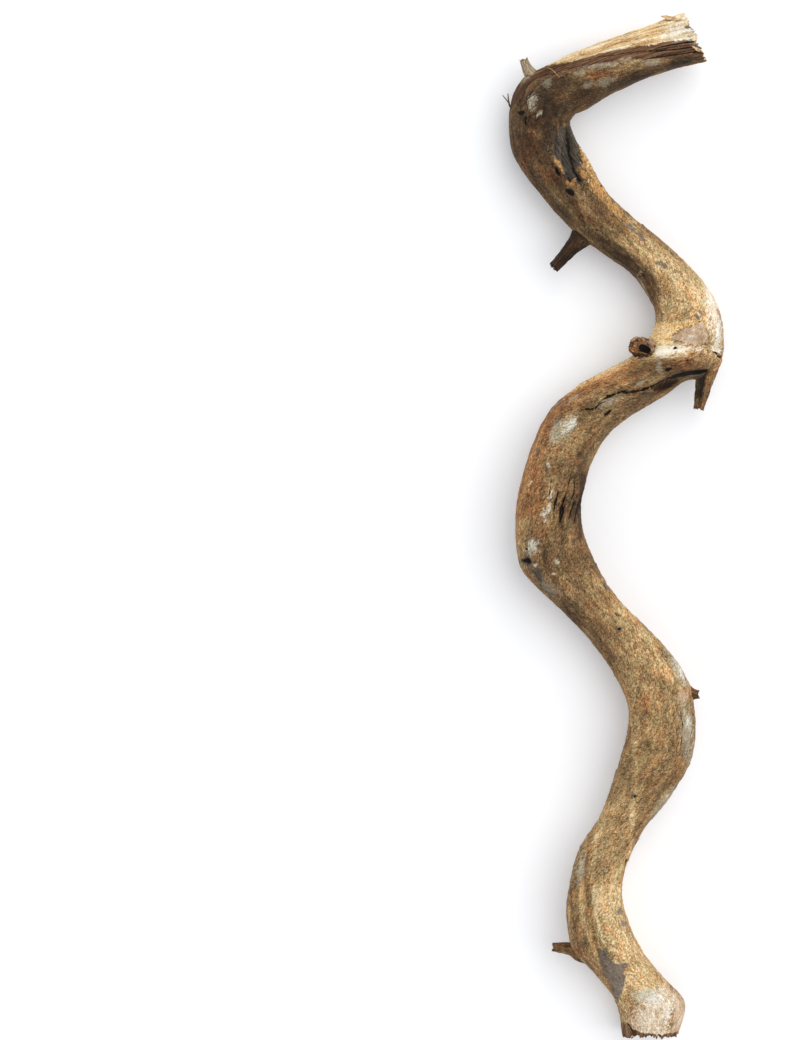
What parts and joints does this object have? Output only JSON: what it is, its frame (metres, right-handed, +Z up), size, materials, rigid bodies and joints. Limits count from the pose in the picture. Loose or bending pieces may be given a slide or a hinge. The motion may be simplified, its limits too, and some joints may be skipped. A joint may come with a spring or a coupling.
{
  "type": "dried liana stem",
  "caption": "Sinuous dried liana stem with a torn upper end, a swollen node, broken side twigs and a broken foot, lying on a surface.",
  "frame": {"origin": "middle of the outline on the surface that the stem lies on", "axes": "+Y along the length towards the torn upper end, +X to the right seen from above, +Z up from the surface"},
  "size_m": [0.162, 0.77, 0.0605],
  "materials": {
    "bark": "dry, dull golden-brown bark with grey crusts and bare torn wood"
  },
  "bodies": {
    "root": {"liana": "bark"}
  },
  "joints": []
}
